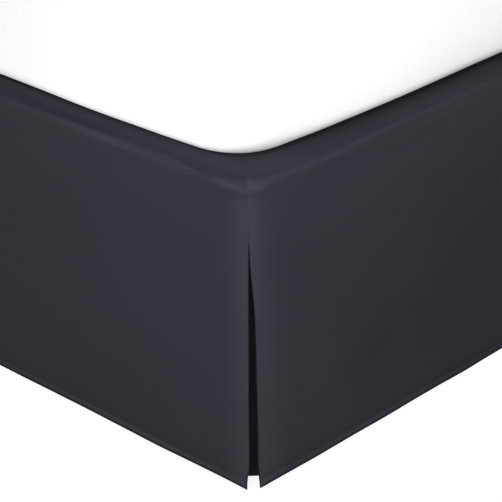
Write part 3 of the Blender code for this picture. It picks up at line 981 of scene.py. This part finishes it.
def loft(low, high, rings, corner, columns):
    """Rings of a rounded box: each ring is the box's outline drawn in by its inset at its height."""
    angle, near, far, share = columns
    middle = np.array([(low.x + high.x) / 2, (low.y + high.y) / 2])
    half = np.array([(high.x - low.x) / 2, (high.y - low.y) / 2])
    inset = rings[:, 0][:, None, None]
    radius = np.maximum(corner - inset, 0.004)
    facing = np.stack([np.cos(angle), np.sin(angle)], axis=-1)[None]
    at_near = near[None] * (half - inset - radius) + radius * facing
    at_far = far[None] * (half - inset - radius) + radius * facing
    plan = middle + at_near * (1 - share[None]) + at_far * share[None]
    z = np.repeat(rings[:, 1][:, None, None], plan.shape[1], axis=1)
    return np.concatenate([plan, z], axis=-1)


def loft_normals(points):
    """Unit outward normals of a loft closed round its columns."""
    wrapped = np.concatenate([points[:, -1:], points, points[:, :1]], axis=1)
    up = np.gradient(points, axis=0)
    around = (wrapped[:, 2:] - wrapped[:, :-2]) / 2
    return unit(np.cross(around, up))


def lofted_piece(name, points, finish):
    """Closed body from a loft, its two ends filled by flat faces."""
    rows, columns = points.shape[:2]
    faces = grid_faces(rows, columns, wrap=True).tolist()
    faces.append(list(range(columns))[::-1])
    faces.append(list(range((rows - 1) * columns, rows * columns)))
    return make_mesh(name, points, faces, finish)


def quarter(radius, steps):
    """Offsets of a quarter circle, from upright at its start to level at its end."""
    turn = np.linspace(0, math.pi / 2, steps)
    return radius * (1 - np.cos(turn)), radius * np.sin(turn)


def place_light(light, corner, place, target):
    """Put a light at its place from the corner and turn it to its target."""
    place, target = Vector(place), Vector(target)
    lamp = bpy.data.objects.new(light.name, light)
    lamp.location = corner + place
    lamp.rotation_euler = (target - place).to_track_quat("-Z", "Y").to_euler()
    bpy.context.scene.collection.objects.link(lamp)


def white_room(studio):
    """World of an even white, brighter towards the horizon and straight above."""
    world = bpy.data.worlds.new("white room")
    world.use_nodes = True
    tree = world.node_tree
    sky = tree.nodes["Background"]
    sky.inputs["Color"].default_value = (1.0, 1.0, 1.0, 1.0)
    parts = add(tree, "ShaderNodeSeparateXYZ")
    tree.links.new(add(tree, "ShaderNodeTexCoord").outputs["Generated"], parts.inputs[0])
    rise = math_node(tree, "MAXIMUM", parts.outputs["Z"], 0.0)
    low = math_node(tree, "POWER", math_node(tree, "SUBTRACT", 1.0, rise), 16.0)
    top = math_node(tree, "POWER", rise, 8.0)
    glow = math_node(tree, "ADD", math_node(tree, "MULTIPLY", low, studio.horizon), studio.sky)
    glow = math_node(tree, "ADD", glow, math_node(tree, "MULTIPLY", top, studio.ceiling))
    tree.links.new(glow, sky.inputs["Strength"])
    return world


def ride(piece, slot, *nodes):
    """Put a piece on the one body and hide the nodes that it stands for; slot is not used."""
    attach(piece, "root")
    if nodes:
        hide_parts(*nodes)


class MakeDrops(bpy.types.Operator):
    """Side drops and foot drop with their hems, creases and stitches"""

    bl_idname = "bedskirt.make_drops"
    bl_label = "Make the drops"

    def execute(self, context):
        sizes = context.scene.bed_skirt_sizes
        side_reach = SPRING_HIGH.y - SPRING_LOW.y + sizes.stand_off
        foot_reach = 2 * (SPRING_HIGH.x + sizes.stand_off)
        plans = (
            ("left", side_reach, True, WAVES_SIDE, CREASES_SIDE, place_left, True),
            ("right", side_reach, True, WAVES_FAR, CREASES_SIDE, place_right, False),
            ("foot", foot_reach, False, WAVES_FOOT, CREASES_FOOT, place_foot, False),
        )
        for name, reach, side, waves, creases, place, turned in plans:
            points, cloth_map, painted_light_shares = drop_surface(sizes, reach, side, waves, creases)
            placed = place(points)
            piece = cloth_piece(
                f"{name}_drop_cloth", placed, cloth_map, finish_of("charcoal cloth"), turned, painted_light_shares
            )
            ride(piece, "skirt_cloth", f"drop_{name}")
            line = hem_line(sizes, points, placed, side, turned)
            sewing = stitches(f"{name}_hem_stitches", [line], finish_of("skirt thread"))
            ride(sewing, "skirt_cloth")
        return {"FINISHED"}


class MakeInserts(bpy.types.Operator):
    """Loose panels behind the split corners"""

    bl_idname = "bedskirt.make_inserts"
    bl_label = "Make the inserts"

    def execute(self, context):
        sizes = context.scene.bed_skirt_sizes
        share = np.concatenate([np.linspace(0, 0.07, 16), np.linspace(0.07, 1.0, 40)[1:]])[:, None]
        z = sizes.hem_height + share * (sizes.insert_top - sizes.hem_height)
        below = z - sizes.crest_corner + sizes.recess_below
        inset = sizes.insert_behind + sizes.recess * bell(below, sizes.recess_reach)
        radius = sizes.insert_radius_hem + share * (sizes.insert_radius_top - sizes.insert_radius_hem)
        centre = inset + radius
        turn = np.linspace(0, math.pi / 2, 44)[None, :]
        straight = np.linspace(1, 0, 12)[None, :-1]
        run = centre + (sizes.insert_reach - centre) * straight
        u = np.concatenate([inset + 0 * run, centre - radius * np.cos(turn), run[:, ::-1]], axis=1)
        v = np.concatenate([run, centre - radius * np.sin(turn), inset + 0 * run], axis=1)
        points = np.stack([u, v, z + 0 * u], axis=-1)
        steps = np.linalg.norm(np.diff(points, axis=1, prepend=points[:, :1]), axis=-1)
        along = np.cumsum(steps, axis=1)
        depth = 0.0006 * np.sin(along * 2 * math.pi / 0.19 + 0.8) * (1 - share)
        above = z - sizes.hem_height
        groove = -0.0003 * bell(above - sizes.hem_width, 0.0011)
        away = np.minimum(along, along[:, -1:] - along)
        depth = np.minimum(depth * ease((away - 0.07) / 0.04) + groove, 0.0003)
        points = points + depth[..., None] * grid_normals(points)
        cloth_map = np.stack([along, z + 0 * along], axis=-1)
        # Painted light over the insert, less towards its hem, and painted shade at its hem
        painted_light_shares = {
            "fade": 1 - bell(above, 0.06) + 0 * along,
            "shade": 0.70 * bell(above, 0.035) + 0 * along,
        }
        for name, place, turned in (("left", place_left, False), ("right", place_right, True)):
            placed = place(points)
            piece = cloth_piece(
                f"{name}_insert_cloth", placed, cloth_map, finish_of("charcoal cloth"), turned, painted_light_shares
            )
            ride(piece, "skirt_cloth", f"insert_{name}")
        return {"FINISHED"}


class MakeDeck(bpy.types.Operator):
    """Flat deck between mattress and box spring"""

    bl_idname = "bedskirt.make_deck"
    bl_label = "Make the deck"

    def execute(self, context):
        across = np.linspace(DECK_LOW.x, DECK_HIGH.x, 90)[None, :]
        along = np.linspace(DECK_LOW.y, DECK_HIGH.y, 120)[:, None]
        cut = 0.003 * np.clip(1 - (along - DECK_LOW.y) / 0.02, 0, 1)
        x = across * (1 - cut / DECK_HIGH.x)
        z = DECK_HIGH.z - 0.00012 * (1 + np.sin(across * 31) * np.sin(along * 23))
        points = np.stack([x + 0 * along, along + 0 * across, z], axis=-1)
        cloth_map = points[..., :2]
        piece = cloth_piece("deck_cloth", points, cloth_map, finish_of("deck cloth"), False)
        ride(piece, "deck_cloth", "deck")
        return {"FINISHED"}


def mattress_rings(bed, low, high):
    """Inset and height of each ring of the mattress: round edges, upright side, level top."""
    in_low, up_low = quarter(bed.mattress_lower, 9)
    in_high, up_high = quarter(bed.mattress_upper, 15)
    lower = np.stack([in_low[::-1], low.z + bed.mattress_lower - up_low[::-1]], axis=-1)
    side_z = np.linspace(low.z + bed.mattress_lower, high.z - bed.mattress_upper, 30)[1:-1]
    side = np.stack([0 * side_z, side_z], axis=-1)
    upper = np.stack([in_high, high.z - bed.mattress_upper + up_high], axis=-1)
    top_in = np.linspace(bed.mattress_upper, (high.x - low.x) / 2 - 0.03, 44)[1:]
    top = np.stack([top_in, 0 * top_in + high.z], axis=-1)
    return np.concatenate([lower, side, upper, top])


def mattress_bulge(points, normals):
    """Bulge of the sides near the foot corners: bell curves along each side, level outwards."""
    half, foot = skirt_faces()
    x, y = points[..., 0], points[..., 1]
    plan = unit(normals[..., :2])
    on_side = plan[..., 0] ** 2 * bumps(BULGES_SIDE, y - foot, 2)
    on_foot = plan[..., 1] ** 2 * bumps(BULGES_FOOT, half - np.abs(x), 2) * (y < 0)
    level = np.hypot(normals[..., 0], normals[..., 1])
    return ((on_side + on_foot) * level)[..., None] * plan


def mattress_relief(points, normals, low, high):
    """Depth outwards of the cover: crossed ripples and slanting folds, both sine waves, and a crown.

    All of it fades out towards the lower edge, and it stands out by 3 mm at most.
    """
    x, y, z = points[..., 0], points[..., 1], points[..., 2]
    body = ease((z - low.z - 0.008) / 0.05)
    flank = np.sin(np.clip((z - low.z) / (high.z - low.z), 0, 1) * math.pi)
    ripple = 0.0011 * np.sin(21 * x + 9 * z + 1.5 * np.sin(6 * y))
    ripple = ripple * np.sin(17 * y - 11 * z + 1.2 * np.sin(5 * x))
    fold_line = (x + 0.45) * 0.8 + (y - low.y) * 0.8 - (z - low.z) * 1.1
    folds = 0.0012 * np.sin(fold_line * 26) * bell(fold_line - 0.25, 0.22)
    crown = -0.0035 * ease((np.hypot(x / high.x, (y - 0.01) / high.y) - 0.45) / 0.6)
    depth = body * (ripple + folds) * (0.4 + 0.6 * flank) + 0.0016 * flank + 0.35 * ripple
    depth = depth + crown * (normals[..., 2] > 0.5)
    return np.minimum(depth, 0.003) * body


class MakeMattress(bpy.types.Operator):
    """Mattress in its smooth white cover"""

    bl_idname = "bedskirt.make_mattress"
    bl_label = "Make the mattress"

    def execute(self, context):
        bed = context.scene.bed_skirt_bed
        low, high = MATTRESS_LOW, MATTRESS_HIGH
        rings = mattress_rings(bed, low, high)
        points = loft(low, high, rings, bed.mattress_corner, outline_columns(18, 60, 80))
        normals = loft_normals(points)
        points[..., :2] += mattress_bulge(points, normals)
        points = points + mattress_relief(points, normals, low, high)[..., None] * normals
        piece = lofted_piece("mattress_cover", points, finish_of("white cover"))
        ride(piece, "mattress_cover", "mattress")
        return {"FINISHED"}


class MakeBoxSpring(bpy.types.Operator):
    """Box spring in ticking, piped round its lower edge and its shoulder"""

    bl_idname = "bedskirt.make_box_spring"
    bl_label = "Make the box spring"

    def execute(self, context):
        bed = context.scene.bed_skirt_bed
        low, high = SPRING_LOW, SPRING_HIGH
        base = low.z + 2 * bed.piping
        in_high, up_high = quarter(bed.spring_shoulder, 12)
        bottom_in = np.linspace(0.5, 0.010, 10)
        bottom = np.stack([bottom_in, 0 * bottom_in + low.z + 0.002], axis=-1)
        foot_in = np.array([[0.0055, low.z + 0.0025], [0.0035, low.z + 0.005], [0.0032, base]])
        side_z = np.linspace(base, high.z - bed.spring_shoulder, 24)[1:]
        full = np.sin((side_z - base) / (side_z[-1] - base) * math.pi)
        side = np.stack([0.0028 * (1 - full) + 0.0002, side_z], axis=-1)
        upper_in = in_high[1:] + 0.003 * (1 - in_high[1:] / in_high[-1])
        upper = np.stack([upper_in, high.z - bed.spring_shoulder + up_high[1:]], axis=-1)
        top_in = np.linspace(bed.spring_shoulder, (high.x - low.x) / 2 - 0.05, 16)[1:]
        top = np.stack([top_in, 0 * top_in + high.z], axis=-1)
        rings = np.concatenate([bottom, foot_in, side, upper, top])
        columns = outline_columns(14, 48, 64)
        points = loft(low, high, rings, bed.spring_corner, columns)
        piece = lofted_piece("box_spring_body", points, finish_of("ticking"))
        ride(piece, "ticking", "box_spring")
        turn = np.linspace(0, 2 * math.pi, 11)[:-1]
        lower_z = low.z + bed.piping + 0.0006
        upper_z = high.z - bed.spring_shoulder
        for name, centre_z in (("lower", lower_z), ("upper", upper_z)):
            ring = [bed.piping * (1 + np.cos(turn)), centre_z + bed.piping * np.sin(turn)]
            ring = np.stack(ring, axis=-1)[::-1]
            tube = loft(low, high, ring, bed.spring_corner, columns)
            rows, around = tube.shape[:2]
            faces = grid_faces(rows + 1, around, wrap=True) % (rows * around)
            piping = make_mesh(
                f"box_spring_{name}_piping", tube, faces.tolist(), finish_of("ticking")
            )
            ride(piping, "ticking")
        return {"FINISHED"}


class PaintFrame(bpy.types.Operator):
    """Powder coat on the rails and legs, plastic on the glides"""

    bl_idname = "bedskirt.paint_frame"
    bl_label = "Finish the bed frame"

    def execute(self, context):
        for name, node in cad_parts.items():
            if name.startswith("glide_"):
                finish = finish_of("glide plastic")
            elif "rail" in name or name.startswith("leg_"):
                finish = finish_of("frame coat")
            else:
                continue
            for slot in node.material_slots:
                slot.material = finish
        return {"FINISHED"}


class SetStage(bpy.types.Operator):
    """Plain pale floor, soft lights and the camera"""

    bl_idname = "bedskirt.set_stage"
    bl_label = "Set the stage"

    def execute(self, context):
        scene = context.scene
        studio = scene.bed_skirt_studio
        base = scene.bed_skirt_finishes.floor
        half = studio.floor_size / 2
        square = np.array([[-half, -half, 0], [half, -half, 0], [half, half, 0], [-half, half, 0]])
        finish, tree, shader = new_finish("studio floor", base, 0.9)
        place = add(tree, "ShaderNodeTexCoord").outputs["Object"]
        tone_mix(tree, shader, noise(tree, place, 1.5), base, 0.01)
        shader.inputs["Emission Color"].default_value = (1.0, 1.0, 1.0, 1.0)
        shader.inputs["Emission Strength"].default_value = studio.floor_glow
        make_mesh("studio_floor", square, [[0, 1, 2, 3]], finish)

        width, foot = skirt_faces()
        corner = Vector((-width, foot, 0.0))
        camera = bpy.data.cameras.new("camera")
        camera.lens = studio.lens
        camera.sensor_width = 36.0
        eye = bpy.data.objects.new("camera", camera)
        eye.location = corner + Vector(
            (-studio.camera_left, -studio.camera_front, studio.camera_height)
        )
        eye.rotation_euler = (math.pi / 2 - studio.camera_down, 0.0, -studio.camera_turn)
        scene.collection.objects.link(eye)
        scene.camera = eye

        key = bpy.data.lights.new("key light", "AREA")
        key.energy = studio.key
        key.size = KEY_SIZE
        place_light(key, corner, KEY_PLACE, KEY_TARGET)
        for name, place, target, cone in SPOTS:
            spot = bpy.data.lights.new(name, "SPOT")
            spot.energy = getattr(studio, name)
            spot.spot_size = math.radians(cone)
            spot.spot_blend = 1.0
            spot.shadow_soft_size = SPOT_RADIUS
            place_light(spot, corner, place, target)

        scene.world = white_room(studio)
        scene.view_settings.view_transform = "Standard"
        return {"FINISHED"}


class BedSkirtPanel(bpy.types.Panel):
    """Sizes and steps of the bed skirt"""

    bl_idname = "VIEW3D_PT_bed_skirt"
    bl_label = "Bed Skirt"
    bl_space_type = "VIEW_3D"
    bl_region_type = "UI"
    bl_category = "Bed Skirt"

    def draw(self, context):
        layout = self.layout
        for operator in OPERATORS:
            layout.operator(operator.bl_idname)
        for group in (
            context.scene.bed_skirt_sizes,
            context.scene.bed_skirt_bed,
            context.scene.bed_skirt_finishes,
            context.scene.bed_skirt_studio,
        ):
            box = layout.box()
            for name in group.__annotations__:
                box.prop(group, name)


OPERATORS = (MakeDrops, MakeInserts, MakeBoxSpring, MakeDeck, MakeMattress, PaintFrame, SetStage)
GROUPS = (SkirtSizes, BedSizes, Finishes, StudioSizes)


def register():
    for item in (*GROUPS, *OPERATORS, BedSkirtPanel):
        bpy.utils.register_class(item)
    bpy.types.Scene.bed_skirt_sizes = PointerProperty(type=SkirtSizes)
    bpy.types.Scene.bed_skirt_bed = PointerProperty(type=BedSizes)
    bpy.types.Scene.bed_skirt_finishes = PointerProperty(type=Finishes)
    bpy.types.Scene.bed_skirt_studio = PointerProperty(type=StudioSizes)


def unregister():
    del bpy.types.Scene.bed_skirt_studio
    del bpy.types.Scene.bed_skirt_finishes
    del bpy.types.Scene.bed_skirt_bed
    del bpy.types.Scene.bed_skirt_sizes
    for item in (BedSkirtPanel, *reversed(OPERATORS), *reversed(GROUPS)):
        bpy.utils.unregister_class(item)


def main():
    register()
    bpy.ops.bedskirt.make_drops()
    bpy.ops.bedskirt.make_inserts()
    bpy.ops.bedskirt.make_box_spring()
    bpy.ops.bedskirt.make_deck()
    bpy.ops.bedskirt.make_mattress()
    bpy.ops.bedskirt.paint_frame()
    bpy.ops.bedskirt.set_stage()


if __name__ == "__main__":
    main()
